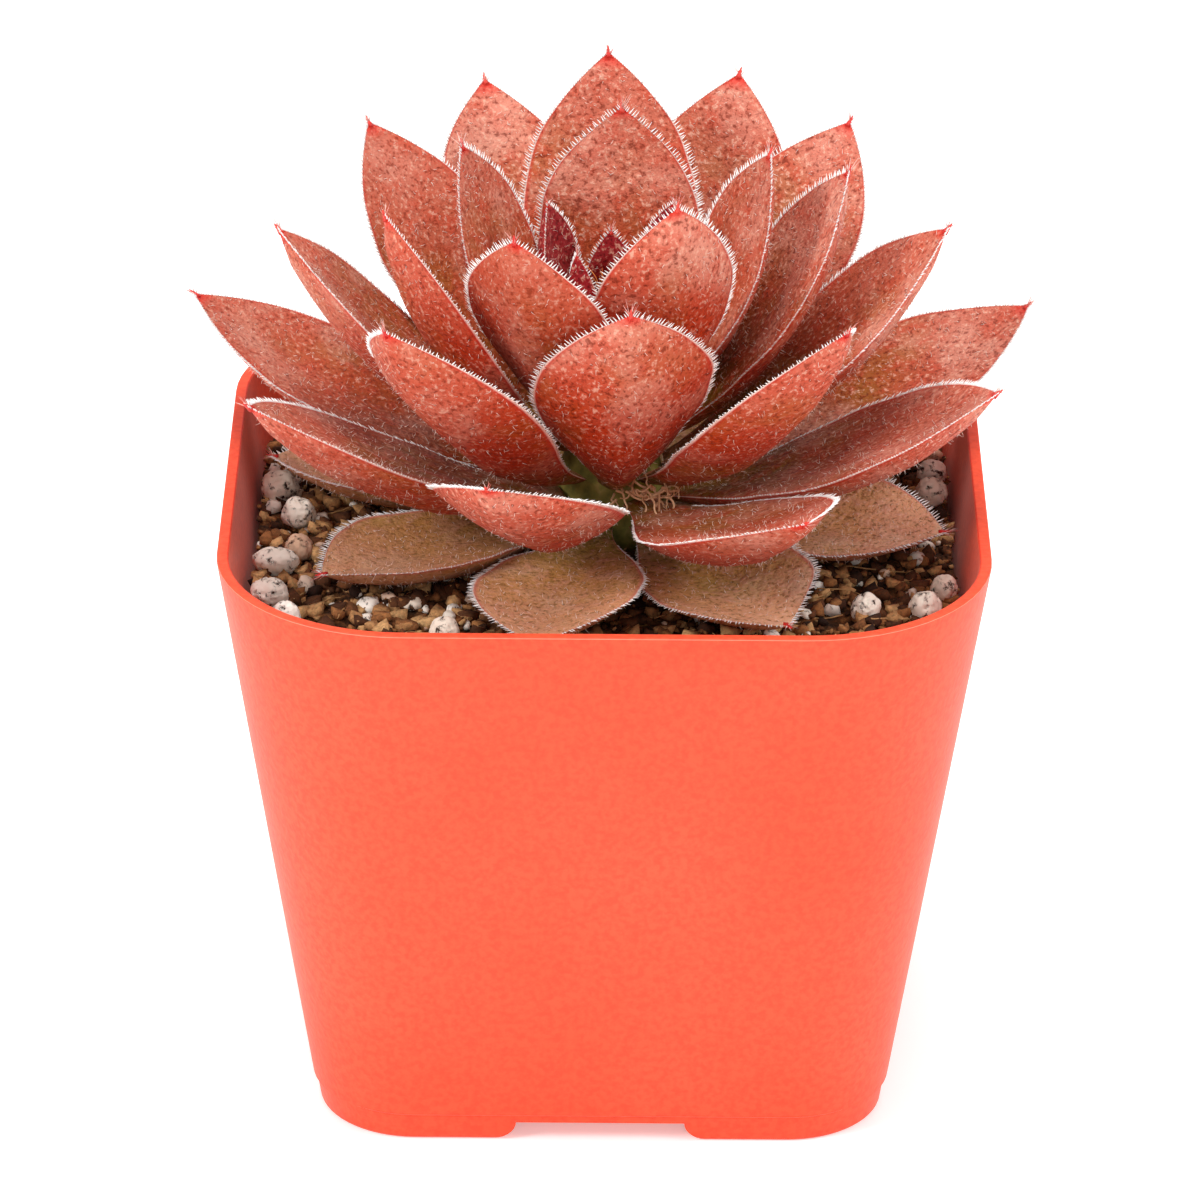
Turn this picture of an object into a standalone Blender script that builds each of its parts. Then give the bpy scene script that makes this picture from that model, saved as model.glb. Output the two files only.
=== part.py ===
"""Potted succulent: a houseleek rosette in a tapered square nursery pot.

Metres, +Z up. The pot stands on the ground with its front facing -Y, and the origin
is under the middle of the box around the whole part. Sizes below are in millimetres
and degrees.
"""

import math

import bmesh
import bpy
from mathutils import Matrix, Vector

MM = 0.001

# Pot
POT_WIDTH = 64.0
POT_HEIGHT = 51.2
POT_BASE_WIDTH = 48.2
POT_TOP_CORNER = 15.6
POT_BASE_CORNER = 8.4
POT_WALL = 1.0
POT_FLOOR = 1.2
POT_INNER_BEVEL = 1.0
FOOT_HEIGHT = 2.7
FOOT_STEP = 0.25
FOOT_STEP_BEVEL = 0.3
FOOT_LIP = 0.8
FOOT_EDGE_BEVEL = 0.5
RIM_ROUND = 0.2
NOTCH_WIDTH = 14.2
NOTCH_HEIGHT = 1.8
NOTCH_FLARE = 2.4
NOTCH_STEPS = 4
DRAIN_RADIUS = 3.0
DRAIN_OFFSET = 11.5
CORNER_STEPS = 6

# Soil and stones
SOIL_BELOW_RIM = 6.6
SOIL_MOUND = 0.7
SOIL_MOUND_RADIUS = 9.0
SOIL_SWELL = 0.12
SOIL_WAVES = (0.45, 0.38)
SOIL_RINGS = (1.0, 0.82, 0.62, 0.40, 0.18)
FIT_GAP = 0.35

# A stone is worn: a little under its full size, with shallow lumps.
STONE_WEAR = 0.95
STONE_LUMP = 0.05
STONE_WAVES = (3.1, 4.3, 2.7)
STONE_STEP = 0.05

# Each stone lies at an azimuth around the pot, this far off the wall: name, azimuth,
# distance off the wall, then its length, width and height.
STONES = [
    ("stone_left_back", 166, 0.0, 3.6, 3.4, 3.2),
    ("stone_left_middle", 176, 2.0, 3.2, 3.0, 3.0),
    ("stone_left_low", 190, 2.5, 2.8, 2.8, 2.6),
    ("stone_left_large", 195, 0.0, 4.2, 3.0, 2.8),
    ("stone_left_front", 206, 0.0, 3.6, 3.0, 2.8),
    ("stone_corner_left", 215, 1.0, 3.0, 3.0, 3.0),
    ("stone_front_left", 222, 3.5, 2.4, 2.6, 2.2),
    ("stone_front_middle", 237, 8.0, 2.8, 2.8, 2.6),
    ("stone_right_middle", 325, 6.5, 2.8, 2.8, 2.6),
    ("stone_right_front", 330, 1.5, 3.0, 3.0, 3.0),
    ("stone_corner_right", 338, 0.0, 2.6, 2.6, 2.6),
    ("stone_right_back", 14, 0.0, 3.2, 3.0, 3.0),
    ("stone_right_far", 22, 0.0, 2.8, 2.8, 2.6),
]

# Plant. Its stem stands a little off the pot's middle.
ROSETTE_X = 0.5
ROSETTE_Y = 1.0
STEM_TOP_RADIUS = 1.4
STEM_SEGMENTS = 16
STUB_RADIUS = 0.6
STUB_LENGTH = 2.4
STUB_TILT = 8.0
STUB_AZIMUTH = 296.0
STUB_ABOVE_LEAVES = 1.45
STUB_SHOULDER = 0.7
STUB_TAPER = 0.6

# Leaves stand in whorls around the stem, oldest and lowest first, and a whorl's
# leaves share one shape. The lower whorls have eight leaves, and each is turned about
# half a step against the one below. Leaves start at the azimuth first and follow each
# other by step. They rise from the stem by rise, and by lean more at the front, where
# they're also shorter by the share shorter. climb is the height of their bases above
# those of the whorl below, reach the distance of the bases from the stem's axis, and
# cup the lift of the margins per half width. nudges are the leaves that grew off this
# rule, by number: more turn, more rise and more length.
WHORLS = [
    dict(name="old_leaf", count=8, first=212, step=45, rise=4, lean=-5, length=26,
         shorter=0.15, width=14.1, thickness=3.0, curl=18, cup=0.25, twist=5,
         climb=3.4, reach=5.2, nudges={}),
    dict(name="spread_leaf", count=8, first=206, step=45, rise=22, lean=4, length=38,
         shorter=0.25, width=15.5, thickness=3.4, curl=32, cup=0.20, twist=3,
         climb=2.0, reach=4.9,
         nudges={3: (3, -7, 0), 5: (-5, -6, 0), 6: (0, 18, 0), 7: (-7, 16, 0),
                 8: (0, -4, 0)}),
    dict(name="rising_leaf", count=8, first=226, step=45, rise=42, lean=0, length=34,
         shorter=0.15, width=15.0, thickness=3.4, curl=28, cup=0.20, twist=5,
         climb=2.0, reach=4.5, nudges={2: (4, 17, -5), 6: (0, 10, 0)}),
    dict(name="upright_leaf", count=2, first=10, step=190, rise=55, lean=0, length=28,
         shorter=0.0, width=14.0, thickness=3.2, curl=32, cup=0.18, twist=2,
         climb=2.0, reach=3.9, nudges={}),
    dict(name="inner_leaf", count=5, first=15, step=72, rise=66, lean=0, length=25,
         shorter=0.0, width=13.5, thickness=3.0, curl=24, cup=0.12, twist=2,
         climb=1.6, reach=3.4, nudges={4: (8, -5, 0), 5: (-6, 5, 0)}),
    dict(name="heart_leaf", count=2, first=30, step=125, rise=79, lean=0, length=17,
         shorter=0.0, width=7.0, thickness=2.2, curl=18, cup=0.28, twist=2,
         climb=2.0, reach=2.8, nudges={}),
    dict(name="bud_leaf", count=3, first=92, step=120, rise=83, lean=0, length=13,
         shorter=0.0, width=4.6, thickness=1.6, curl=12, cup=0.28, twist=2,
         climb=1.0, reach=1.9, nudges={}),
]

# Shape shared by all leaves, along the leaf from its base at 0 to its tip at 1.
LEAF_RINGS = 9
LEAF_WIDEST = 0.6
LEAF_FOOT_SHARE = 0.20
LEAF_SWELL = 1.5
LEAF_POINT = 2.2
LEAF_PLUMPNESS = [(0.0, 0.3), (0.12, 0.7), (0.35, 1.0), (0.7, 0.75), (0.9, 0.38), (1.0, 0.0)]
LEAF_UPPER_SHARE = 0.22
LEAF_CUP_POWER = 1.4
LEAF_KEEL_POWER = 1.5
LEAF_ROLL_RATE = 2.0
LEAF_CUP_RATE = 3.0

# Places across a section: the upper face from margin to margin, then the lower face.
LEAF_UPPER = (1.0, 0.55, 0.0, -0.55, -1.0)
LEAF_LOWER = (-0.8, -0.42, 0.0, 0.42, 0.8)

# Leaves keep this far inside the wall, and this far ahead of it they're over the rim.
WALL_CLEARANCE = 0.8
RIM_APPROACH = 2.5
SHORTEN_STEP = 0.5
LIFT_STEP = 1.0

POT_COLOUR = (0.90, 0.13, 0.06, 1.0)
SOIL_COLOUR = (0.04, 0.022, 0.014, 1.0)
STONE_COLOUR = (0.78, 0.74, 0.66, 1.0)
STEM_COLOUR = (0.30, 0.28, 0.10, 1.0)
STUB_COLOUR = (0.42, 0.36, 0.09, 1.0)
LEAF_COLOUR = (0.46, 0.12, 0.09, 1.0)
OLD_LEAF_COLOUR = (0.42, 0.17, 0.09, 1.0)
HEART_LEAF_COLOUR = (0.33, 0.03, 0.03, 1.0)


def clearScene():
    for obj in list(bpy.data.objects):
        bpy.data.objects.remove(obj, do_unlink=True)


def makeMaterial(name, colour, roughness):
    material = bpy.data.materials.new(name)
    material.use_nodes = True
    shader = material.node_tree.nodes["Principled BSDF"]
    shader.inputs["Base Color"].default_value = colour
    shader.inputs["Roughness"].default_value = roughness
    shader.inputs["Metallic"].default_value = 0.0
    return material


def addObject(name, bm, material, parent, smoothAngle=40.0):
    bmesh.ops.recalc_face_normals(bm, faces=bm.faces)
    mesh = bpy.data.meshes.new(name)
    bm.to_mesh(mesh)
    bm.free()
    mesh.shade_smooth()
    mesh.set_sharp_from_angle(angle=math.radians(smoothAngle))
    mesh.materials.append(material)
    obj = bpy.data.objects.new(name, mesh)
    bpy.context.collection.objects.link(obj)
    obj.parent = parent
    return obj


def loft(bm, rings, capStart=True, capEnd=True):
    """Skin between closed rings of points that all have the same count."""
    loops = [[bm.verts.new(point) for point in ring] for ring in rings]
    count = len(loops[0])
    for lower, upper in zip(loops, loops[1:]):
        for i in range(count):
            j = (i + 1) % count
            bm.faces.new((lower[i], lower[j], upper[j], upper[i]))
    if capStart:
        bm.faces.new(list(reversed(loops[0])))
    if capEnd:
        bm.faces.new(loops[-1])
    return loops


def roundedSquare(width, corner, height):
    """A ring of points around a square of this width with rounded corners."""
    reach = width / 2 - corner
    points = []
    for quarter in range(4):
        turn = math.pi / 2 * quarter
        centre = Matrix.Rotation(turn, 3, "Z") @ Vector((reach, reach, 0.0))
        for step in range(CORNER_STEPS + 1):
            angle = turn + math.pi / 2 * step / CORNER_STEPS
            points.append(Vector((centre.x + corner * math.cos(angle),
                                  centre.y + corner * math.sin(angle),
                                  height)) * MM)
    return points


def potSection(height, inset):
    """The pot's outline at one height, moved inwards by an inset."""
    share = height / POT_HEIGHT
    width = POT_BASE_WIDTH + (POT_WIDTH - POT_BASE_WIDTH) * share
    corner = POT_BASE_CORNER + (POT_TOP_CORNER - POT_BASE_CORNER) * share
    return roundedSquare(width - 2 * inset, corner - inset, height)


def insideWall(x, y, height):
    """Distance from a point to the inner face of the pot's wall, negative beyond it."""
    share = height / POT_HEIGHT
    half = (POT_BASE_WIDTH + (POT_WIDTH - POT_BASE_WIDTH) * share) / 2 - POT_WALL
    corner = POT_BASE_CORNER + (POT_TOP_CORNER - POT_BASE_CORNER) * share - POT_WALL
    overX = abs(x) - half + corner
    overY = abs(y) - half + corner
    beyond = math.hypot(max(overX, 0.0), max(overY, 0.0)) + min(max(overX, overY), 0.0)
    return corner - beyond


def notchProfile():
    """Outline of a notch in the foot's lower edge, between rounded corners of the foot."""
    half = NOTCH_WIDTH / 2
    points = [(-half - NOTCH_FLARE, -NOTCH_HEIGHT)]
    for step in range(1, NOTCH_STEPS + 1):
        angle = math.pi / 2 * step / NOTCH_STEPS
        points.append((-half - NOTCH_FLARE * (1.0 - math.sin(angle)),
                       NOTCH_HEIGHT * (1.0 - math.cos(angle))))
    mirrored = [(-x, z) for x, z in reversed(points)]
    return points + mirrored


def addCutter(name, bm):
    bmesh.ops.recalc_face_normals(bm, faces=bm.faces)
    mesh = bpy.data.meshes.new(name)
    bm.to_mesh(mesh)
    bm.free()
    cutter = bpy.data.objects.new(name, mesh)
    cutter.hide_render = True
    cutter.display_type = "WIRE"
    bpy.context.collection.objects.link(cutter)
    return cutter


def makeNotchCutter(name, turn):
    reach = POT_WIDTH
    bm = bmesh.new()
    front = [Vector((x, -reach, z)) * MM for x, z in notchProfile()]
    back = [Vector((x, reach, z)) * MM for x, z in notchProfile()]
    loft(bm, [front, back])
    bmesh.ops.rotate(bm, verts=bm.verts, cent=(0, 0, 0), matrix=Matrix.Rotation(turn, 3, "Z"))
    return addCutter(name, bm)


def makeDrainCutter(name, x, y):
    bm = bmesh.new()
    place = Matrix.Translation(Vector((x, y, FOOT_HEIGHT)) * MM)
    bmesh.ops.create_cone(bm, cap_ends=True, segments=16, radius1=DRAIN_RADIUS * MM,
                          radius2=DRAIN_RADIUS * MM, depth=FOOT_HEIGHT * 2 * MM, matrix=place)
    return addCutter(name, bm)


def makePot(material, parent):
    floorUnder = FOOT_HEIGHT - POT_FLOOR / 2
    floorTop = floorUnder + POT_FLOOR
    rings = [
        potSection(floorUnder, FOOT_LIP + POT_WALL),
        potSection(0.0, FOOT_LIP + POT_WALL),
        potSection(0.0, FOOT_STEP + FOOT_EDGE_BEVEL),
        potSection(FOOT_EDGE_BEVEL, FOOT_STEP),
        potSection(FOOT_HEIGHT - FOOT_STEP_BEVEL, FOOT_STEP),
        potSection(FOOT_HEIGHT, 0.0),
        potSection(POT_HEIGHT - RIM_ROUND, 0.0),
        potSection(POT_HEIGHT, RIM_ROUND),
        potSection(POT_HEIGHT, POT_WALL - RIM_ROUND),
        potSection(POT_HEIGHT - RIM_ROUND, POT_WALL),
        potSection(floorTop + POT_INNER_BEVEL, POT_WALL),
        potSection(floorTop, POT_WALL + POT_INNER_BEVEL),
    ]
    bm = bmesh.new()
    loft(bm, rings)
    pot = addObject("pot", bm, material, parent)
    cutters = [makeNotchCutter("cut_notch_front_back", 0.0),
               makeNotchCutter("cut_notch_sides", math.pi / 2),
               makeDrainCutter("cut_drain_middle", 0.0, 0.0)]
    for number, (sideX, sideY) in enumerate(((1, 1), (-1, 1), (-1, -1), (1, -1)), start=1):
        cutters.append(makeDrainCutter("cut_drain_%d" % number,
                                       sideX * DRAIN_OFFSET, sideY * DRAIN_OFFSET))
    for cutter in cutters:
        cut = pot.modifiers.new(cutter.name, "BOOLEAN")
        cut.operation = "DIFFERENCE"
        cut.solver = "EXACT"
        cut.object = cutter
    return pot


def soilHeight(x, y):
    """Height of the soil's top: a low mound under the plant and slow swells."""
    away = math.hypot(x - ROSETTE_X, y - ROSETTE_Y)
    mound = SOIL_MOUND * math.exp(-(away / SOIL_MOUND_RADIUS) ** 2)
    swell = SOIL_SWELL * (math.sin(x * SOIL_WAVES[0]) * math.cos(y * SOIL_WAVES[1]) - 1.0)
    return POT_HEIGHT - SOIL_BELOW_RIM + mound + swell


def makeSoil(material, parent):
    floorTop = FOOT_HEIGHT + POT_FLOOR / 2
    edge = POT_HEIGHT - SOIL_BELOW_RIM
    inset = POT_WALL + FIT_GAP
    bevel = POT_INNER_BEVEL + FIT_GAP
    rings = [potSection(floorTop + FIT_GAP, inset + bevel),
             potSection(floorTop + FIT_GAP + bevel, inset)]
    outline = potSection(edge, inset)
    centre = Vector((ROSETTE_X, ROSETTE_Y, 0.0)) * MM
    for share in SOIL_RINGS:
        ring = []
        for point in outline:
            flat = centre + (Vector((point.x, point.y, 0.0)) - centre) * share
            height = soilHeight(flat.x / MM, flat.y / MM) * MM
            ring.append(Vector((flat.x, flat.y, height)))
        rings.append(ring)
    bm = bmesh.new()
    loops = loft(bm, rings, capEnd=False)
    top = bm.verts.new((centre.x, centre.y, soilHeight(ROSETTE_X, ROSETTE_Y) * MM))
    last = loops[-1]
    for i, vert in enumerate(last):
        bm.faces.new((vert, last[(i + 1) % len(last)], top))
    return addObject("soil", bm, material, parent)


def stonePlace(azimuth, offWall):
    """Walk out from the pot's middle until the wall is this near."""
    turn = math.radians(azimuth)
    reach = POT_WIDTH / 2
    height = POT_HEIGHT - SOIL_BELOW_RIM
    while insideWall(reach * math.cos(turn), reach * math.sin(turn), height) < offWall:
        reach -= STONE_STEP
    return reach * math.cos(turn), reach * math.sin(turn)


def makeStone(name, azimuth, offWall, length, width, height, material, parent):
    """A worn lump of pumice, resting on the soil."""
    x, y = stonePlace(azimuth, offWall + FIT_GAP + length / 2)
    bm = bmesh.new()
    bmesh.ops.create_icosphere(bm, subdivisions=2, radius=1.0)
    halves = Vector((length, width, height)) * MM / 2
    for vert in bm.verts:
        direction = vert.co.normalized()
        flatWave = STONE_WAVES[0] * direction.x + STONE_WAVES[1] * direction.y + azimuth
        upWave = STONE_WAVES[2] * direction.z + azimuth
        lump = STONE_WEAR - STONE_LUMP * math.sin(flatWave) * math.cos(upWave)
        vert.co = Vector((direction.x * halves.x, direction.y * halves.y,
                          direction.z * halves.z)) * lump
    stone = addObject(name, bm, material, parent, smoothAngle=80.0)
    rest = soilHeight(x, y) + SOIL_SWELL + FIT_GAP + height / 2
    stone.location = Vector((x, y, rest)) * MM
    return stone


def stationValue(stations, share):
    """Read a value between (share, value) stations along the leaf."""
    for (start, low), (end, high) in zip(stations, stations[1:]):
        if share <= end:
            return low + (high - low) * (share - start) / (end - start)
    return stations[-1][1]


def leafOutline(share):
    """Half width of a leaf along its length, as a share of the widest."""
    if share < LEAF_WIDEST:
        grow = math.sin(math.pi / 2 * share / LEAF_WIDEST) ** LEAF_SWELL
        return LEAF_FOOT_SHARE + (1.0 - LEAF_FOOT_SHARE) * grow
    return 1.0 - ((share - LEAF_WIDEST) / (1.0 - LEAF_WIDEST)) ** LEAF_POINT


def leafMidrib(rise, length, curl):
    """Points and headings along the midrib: X runs outwards and Z upwards."""
    steps = LEAF_RINGS - 1
    headings = [math.radians(rise + curl * (i / steps - 0.5)) for i in range(steps + 1)]
    points = [Vector((0.0, 0.0, 0.0))]
    for before, after in zip(headings, headings[1:]):
        middle = (before + after) / 2
        points.append(points[-1] + Vector((math.cos(middle), 0.0, math.sin(middle))))
    scale = length / points[-1].length
    return [point * scale for point in points], headings


def leafRings(whorl, rise, length):
    """Sections of a leaf: flat and cupped above, keeled below."""
    points, headings = leafMidrib(rise, length, whorl["curl"])
    side = Vector((0.0, 1.0, 0.0))
    rings = []
    for i, (point, heading) in enumerate(zip(points, headings)):
        share = i / (LEAF_RINGS - 1)
        half = whorl["width"] / 2 * leafOutline(share)
        plump = whorl["thickness"] * stationValue(LEAF_PLUMPNESS, share)
        roll = math.radians(whorl["twist"]) * min(1.0, share * LEAF_ROLL_RATE)
        lift = whorl["cup"] * half * min(1.0, share * LEAF_CUP_RATE)
        up = Vector((-math.sin(heading), 0.0, math.cos(heading)))
        across = side * math.cos(roll) + up * math.sin(roll)
        above = up * math.cos(roll) - side * math.sin(roll)
        ring = []
        for t in LEAF_UPPER:
            height = lift * abs(t) ** LEAF_CUP_POWER + LEAF_UPPER_SHARE * plump * (1.0 - t * t)
            ring.append(point + across * half * t + above * height)
        for t in LEAF_LOWER:
            keel = (1.0 - LEAF_UPPER_SHARE) * plump * (1.0 - abs(t) ** LEAF_KEEL_POWER)
            height = lift * abs(t) ** LEAF_CUP_POWER - keel
            ring.append(point + across * half * t + above * height)
        rings.append(ring)
    return rings


def leafStand(whorl, number):
    """Azimuth, rise and length of one leaf of a whorl, by the whorl's rule."""
    turned, lifted, grown = whorl["nudges"].get(number, (0, 0, 0))
    azimuth = whorl["first"] + whorl["step"] * (number - 1) + turned
    frontness = (1.0 - math.sin(math.radians(azimuth))) / 2
    rise = whorl["rise"] + whorl["lean"] * frontness + lifted
    length = whorl["length"] * (1.0 - whorl["shorter"] * frontness) + grown
    return azimuth, rise, length


def footHeight(whorl):
    """Height of a whorl's leaf bases, which climb the stem from the soil."""
    below = WHORLS[:WHORLS.index(whorl) + 1]
    return POT_HEIGHT - SOIL_BELOW_RIM + sum(each["climb"] for each in below)


def leafFoot(whorl, azimuth):
    """Where the base of a leaf meets the stem."""
    turn = math.radians(azimuth)
    return Vector((ROSETTE_X + whorl["reach"] * math.cos(turn),
                   ROSETTE_Y + whorl["reach"] * math.sin(turn),
                   footHeight(whorl)))


def leafPoints(whorl, azimuth, rise, length):
    """Every point of a leaf where it stands in the pot."""
    turn = Matrix.Rotation(math.radians(azimuth), 3, "Z")
    foot = leafFoot(whorl, azimuth)
    return [foot + turn @ point for ring in leafRings(whorl, rise, length) for point in ring]


def fitToPot(whorl, azimuth, rise, length):
    """Shorten a leaf that lies in the pot, or lift one that crosses its rim."""
    rim = POT_HEIGHT + FIT_GAP
    if whorl is WHORLS[0]:
        while any(insideWall(p.x, p.y, min(p.z, POT_HEIGHT)) < WALL_CLEARANCE
                  for p in leafPoints(whorl, azimuth, rise, length)):
            length -= SHORTEN_STEP
    else:
        while any(insideWall(p.x, p.y, POT_HEIGHT) < RIM_APPROACH and p.z < rim
                  for p in leafPoints(whorl, azimuth, rise, length)):
            rise += LIFT_STEP
    return rise, length


def makeLeaf(name, whorl, azimuth, rise, length, material, parent):
    rings = [[point * MM for point in ring] for ring in leafRings(whorl, rise, length)]
    bm = bmesh.new()
    last = loft(bm, rings[:-1], capEnd=False)[-1]
    tip = bm.verts.new(rings[-1][0])
    for i, vert in enumerate(last):
        bm.faces.new((vert, last[(i + 1) % len(last)], tip))
    leaf = addObject(name, bm, material, parent, smoothAngle=50.0)
    leaf.location = leafFoot(whorl, azimuth) * MM
    leaf.rotation_euler.z = math.radians(azimuth)
    return leaf


def makeWhorl(whorl, material, parent):
    for number in range(1, whorl["count"] + 1):
        azimuth, rise, length = leafStand(whorl, number)
        rise, length = fitToPot(whorl, azimuth, rise, length)
        name = "%s_%d" % (whorl["name"], number)
        makeLeaf(name, whorl, azimuth, rise, length, material, parent)


def addTurned(name, profile, segments, material, parent):
    """A closed body turned around Z from (radius, height) stations."""
    rings = []
    for radius, height in profile:
        ring = []
        for i in range(segments):
            angle = 2 * math.pi * i / segments
            ring.append(Vector((radius * math.cos(angle), radius * math.sin(angle), height)) * MM)
        rings.append(ring)
    bm = bmesh.new()
    loft(bm, rings)
    return addObject(name, bm, material, parent)


def makeStem(material, parent):
    """The short thick stem, as wide at each whorl as the leaf bases leave free."""
    bottom = soilHeight(ROSETTE_X, ROSETTE_Y) + FIT_GAP
    profile = [(WHORLS[0]["reach"] - FIT_GAP, bottom)]
    for whorl in WHORLS:
        profile.append((whorl["reach"] - FIT_GAP, footHeight(whorl)))
    profile.append((STEM_TOP_RADIUS, footHeight(WHORLS[-1]) + STEM_TOP_RADIUS))
    stem = addTurned("stem", profile, STEM_SEGMENTS, material, parent)
    stem.location = Vector((ROSETTE_X, ROSETTE_Y, 0.0)) * MM
    return stem


def makeStub(material, parent):
    """The dry stub of an old offset, on the front of the stem above the leaf bases."""
    spreading = WHORLS[1]
    profile = [(STUB_RADIUS, 0.0), (STUB_RADIUS, STUB_LENGTH * STUB_SHOULDER),
               (STUB_RADIUS * STUB_TAPER, STUB_LENGTH)]
    stub = addTurned("dry_stub", profile, STEM_SEGMENTS, material, parent)
    turn = math.radians(STUB_AZIMUTH)
    reach = spreading["reach"] + FIT_GAP
    stub.location = Vector((ROSETTE_X + reach * math.cos(turn),
                            ROSETTE_Y + reach * math.sin(turn),
                            footHeight(spreading) + STUB_ABOVE_LEAVES)) * MM
    stub.rotation_euler = (0.0, math.radians(90.0 - STUB_TILT), turn)
    return stub


def centreOverBox(root, pieces):
    """Bring the middle of the whole part's box, seen from above, over the origin."""
    bpy.context.view_layer.update()
    corners = [piece.matrix_world @ vert.co for piece in pieces for vert in piece.data.vertices]
    for axis in (0, 1):
        values = [corner[axis] for corner in corners]
        root.location[axis] = -(min(values) + max(values)) / 2


def main():
    clearScene()
    root = bpy.data.objects.new("potted_succulent", None)
    bpy.context.collection.objects.link(root)
    plastic = makeMaterial("coral_plastic", POT_COLOUR, 0.5)
    earth = makeMaterial("potting_soil", SOIL_COLOUR, 0.95)
    pumice = makeMaterial("pumice", STONE_COLOUR, 0.9)
    stemSkin = makeMaterial("stem_skin", STEM_COLOUR, 0.7)
    stubSkin = makeMaterial("dry_stub_skin", STUB_COLOUR, 0.8)
    leafSkin = makeMaterial("leaf_skin", LEAF_COLOUR, 0.55)
    oldSkin = makeMaterial("old_leaf_skin", OLD_LEAF_COLOUR, 0.6)
    heartSkin = makeMaterial("heart_leaf_skin", HEART_LEAF_COLOUR, 0.5)
    skins = {"old_leaf": oldSkin, "heart_leaf": heartSkin, "bud_leaf": heartSkin}
    makePot(plastic, root)
    makeSoil(earth, root)
    for stone in STONES:
        makeStone(*stone, pumice, root)
    makeStem(stemSkin, root)
    makeStub(stubSkin, root)
    for whorl in WHORLS:
        makeWhorl(whorl, skins.get(whorl["name"], leafSkin), root)
    centreOverBox(root, root.children)


main()
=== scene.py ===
import math
import random

import bmesh
import bpy
import numpy as np
from mathutils import Matrix, Vector, noise


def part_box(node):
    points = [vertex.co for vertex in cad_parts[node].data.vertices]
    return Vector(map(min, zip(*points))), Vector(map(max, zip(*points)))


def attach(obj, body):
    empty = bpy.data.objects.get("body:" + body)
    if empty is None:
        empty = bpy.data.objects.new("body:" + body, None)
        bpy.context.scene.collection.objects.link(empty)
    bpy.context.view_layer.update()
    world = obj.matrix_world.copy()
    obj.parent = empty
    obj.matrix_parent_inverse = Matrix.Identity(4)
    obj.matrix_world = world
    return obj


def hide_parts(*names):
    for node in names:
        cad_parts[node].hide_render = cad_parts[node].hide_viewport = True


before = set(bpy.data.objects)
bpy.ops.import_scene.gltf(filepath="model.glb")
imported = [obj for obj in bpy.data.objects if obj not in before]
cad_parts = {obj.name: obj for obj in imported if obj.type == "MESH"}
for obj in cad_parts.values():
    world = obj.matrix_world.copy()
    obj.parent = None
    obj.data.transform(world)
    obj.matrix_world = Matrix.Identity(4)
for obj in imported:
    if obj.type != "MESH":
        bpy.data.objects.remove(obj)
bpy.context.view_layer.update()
mm = 0.001
dice = random.Random(41)


# small helpers
def hexColour(code, alpha=1.0):
    # sRGB hex to the linear values that shaders take
    channels = []
    for start in (0, 2, 4):
        value = int(code[start:start + 2], 16) / 255
        channels.append(value / 12.92 if value <= 0.04045 else ((value + 0.055) / 1.055) ** 2.4)
    return (*channels, alpha)


def addNode(tree, kind, settings=None, links=None):
    node = tree.nodes.new(kind)
    for key, value in (settings or {}).items():
        if isinstance(key, str) and hasattr(node, key):
            setattr(node, key, value)
        else:
            node.inputs[key].default_value = value
    for key, socket in (links or {}).items():
        tree.links.new(socket, node.inputs[key])
    return node


def newMaterial(name, settings):
    material = bpy.data.materials.new(name)
    material.use_nodes = True
    tree = material.node_tree
    shader = tree.nodes["Principled BSDF"]
    for key, value in settings.items():
        shader.inputs[key].default_value = value
    return material, tree, shader


def ramp(tree, factor, stops):
    # stops are (position, hex colour)
    node = addNode(tree, "ShaderNodeValToRGB", links={0: factor})
    elements = node.color_ramp.elements
    while len(elements) < len(stops):
        elements.new(0.5)
    for element, (position, code) in zip(elements, stops):
        element.position = position
        element.color = hexColour(code)
    return node.outputs["Color"]


def mixColour(tree, factor, first, second, blend="MIX"):
    node = addNode(tree, "ShaderNodeMix", {"data_type": "RGBA", "blend_type": blend})
    for place, value in ((0, factor), (6, first), (7, second)):
        if isinstance(value, bpy.types.NodeSocket):
            tree.links.new(value, node.inputs[place])
        else:
            node.inputs[place].default_value = value
    return node.outputs[2]


def mapRange(tree, value, low, high, toLow=0.0, toHigh=1.0):
    settings = {1: low, 2: high, 3: toLow, 4: toHigh, "clamp": True}
    return addNode(tree, "ShaderNodeMapRange", settings, {0: value}).outputs[0]


def grain(tree, vector, sizeMm, detail=2.0, rough=0.5):
    # a noise whose lumps are about sizeMm across on Object coordinates
    settings = {"Scale": 1 / (sizeMm * mm * 2), "Detail": detail, "Roughness": rough}
    return addNode(tree, "ShaderNodeTexNoise", settings, {"Vector": vector}).outputs["Fac"]


def addBump(tree, shader, layers):
    # layers are (height socket, depth in mm), from the broadest to the finest
    normal = None
    for height, depth in layers:
        links = {"Height": height}
        if normal is not None:
            links["Normal"] = normal
        bump = addNode(tree, "ShaderNodeBump", {"Strength": 1.0, "Distance": depth * mm}, links)
        normal = bump.outputs["Normal"]
    tree.links.new(normal, shader.inputs["Normal"])


def readAttribute(tree, name):
    return addNode(tree, "ShaderNodeAttribute", {"attribute_name": name}).outputs["Fac"]


def objectVector(tree):
    return addNode(tree, "ShaderNodeTexCoord").outputs["Object"]


def addPiece(name, mesh, material, nodes=(), smooth=True, sharpAngle=None):
    mesh.materials.clear()
    mesh.materials.append(material)
    if smooth:
        mesh.shade_smooth()
    if sharpAngle:
        mesh.set_sharp_from_angle(angle=math.radians(sharpAngle))
    piece = bpy.data.objects.new(name, mesh)
    bpy.context.scene.collection.objects.link(piece)
    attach(piece, "root")
    if nodes:
        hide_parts(*nodes)
    return piece


def meshFrom(bm, name):
    mesh = bpy.data.meshes.new(name)
    bm.to_mesh(mesh)
    bm.free()
    return mesh


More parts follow.
